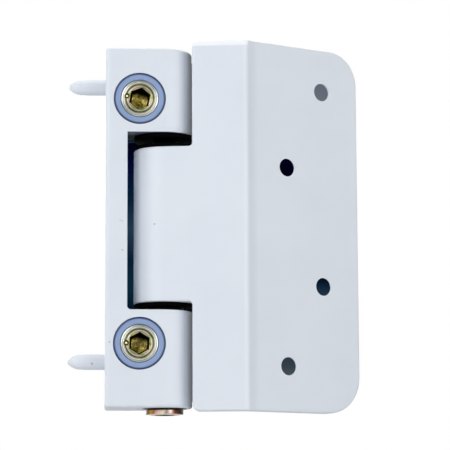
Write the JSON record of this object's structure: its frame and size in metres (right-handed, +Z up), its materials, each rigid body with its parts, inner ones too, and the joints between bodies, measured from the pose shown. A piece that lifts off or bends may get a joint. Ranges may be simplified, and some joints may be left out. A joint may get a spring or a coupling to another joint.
{
  "type": "adjustable door hinge",
  "caption": "Adjustable flag hinge for a composite door: a lugged frame body with locating pegs, a swinging flag leaf on a pin, and hexagon-key height and lateral adjusters.",
  "frame": {"origin": "on the fixing face of the frame body, at mid thickness and mid height of the body", "axes": "+X away from the door frame, square to the fixing face; +Y into the wall, away from the visible front; +Z up, along the hinge pin"},
  "size_m": [0.0807, 0.0217, 0.1022],
  "materials": {
    "body_paint": "satin powder coat, off white",
    "leaf_paint": "satin powder coat, off white",
    "ring_nylon": "satin blue-grey nylon",
    "adjuster_steel": "turned steel, yellow passivated zinc",
    "spring_steel": "blued spring steel",
    "carrier_metal": "bare die cast zinc",
    "bush_nylon": "black nylon",
    "insert_brass": "turned brass",
    "pin_steel": "steel, black oxide",
    "height_screw_steel": "turned steel, copper coloured passivation"
  },
  "bodies": {
    "frame": {"frame_body": "body_paint", "upper_adjuster_ring": "ring_nylon", "lower_adjuster_ring": "ring_nylon", "upper_disc_spring": "spring_steel", "lower_disc_spring": "spring_steel"},
    "carriage": {"upper_pin_carrier": "carrier_metal", "lower_pin_carrier": "carrier_metal", "upper_collar": "bush_nylon", "thread_insert": "insert_brass"},
    "lift": {"hinge_pin": "pin_steel", "thrust_washer": "pin_steel", "thrust_ball": "pin_steel"},
    "flag": {"flag_leaf": "leaf_paint", "upper_knuckle_bush": "bush_nylon", "lower_knuckle_bush": "bush_nylon"},
    "height_screw": {"height_screw": "height_screw_steel"},
    "upper_adjuster": {"upper_adjuster": "adjuster_steel", "upper_retaining_clip": "spring_steel"},
    "lower_adjuster": {"lower_adjuster": "adjuster_steel", "lower_retaining_clip": "spring_steel"}
  },
  "joints": [
    {"name": "lateral_adjust", "type": "slide", "parent": "frame", "child": "carriage", "axis": [1, 0, 0], "range_m": [-0.0007, 0.0007]},
    {"name": "height_adjust", "type": "slide", "parent": "carriage", "child": "lift", "axis": [0, 0, 1], "range_m": [-0.0009, 0.0014]},
    {"name": "flag_swing", "type": "hinge", "parent": "lift", "child": "flag", "pos_m": [0.0164, 0, 0], "axis": [0, 0, 1], "range_deg": [-68, 62]},
    {"name": "height_screw_turn", "type": "hinge", "parent": "lift", "child": "height_screw", "pos_m": [0.0164, 0, 0], "axis": [0, 0, 1], "range_deg": [-260, 404]},
    {"name": "upper_adjuster_turn", "type": "hinge", "parent": "frame", "child": "upper_adjuster", "pos_m": [0.00935, 0, 0.0351], "axis": [0, 1, 0], "range_deg": [-45, 45]},
    {"name": "lower_adjuster_turn", "type": "hinge", "parent": "frame", "child": "lower_adjuster", "pos_m": [0.00935, 0, -0.0321], "axis": [0, 1, 0], "range_deg": [-45, 45]}
  ],
  "couplings": [
    {"joint": "height_screw_turn", "follows": "height_adjust", "rad_per_m": 5026.5},
    {"joint": "upper_adjuster_turn", "follows": "lateral_adjust", "rad_per_m": 1107},
    {"joint": "lower_adjuster_turn", "follows": "lateral_adjust", "rad_per_m": 1107}
  ]
}
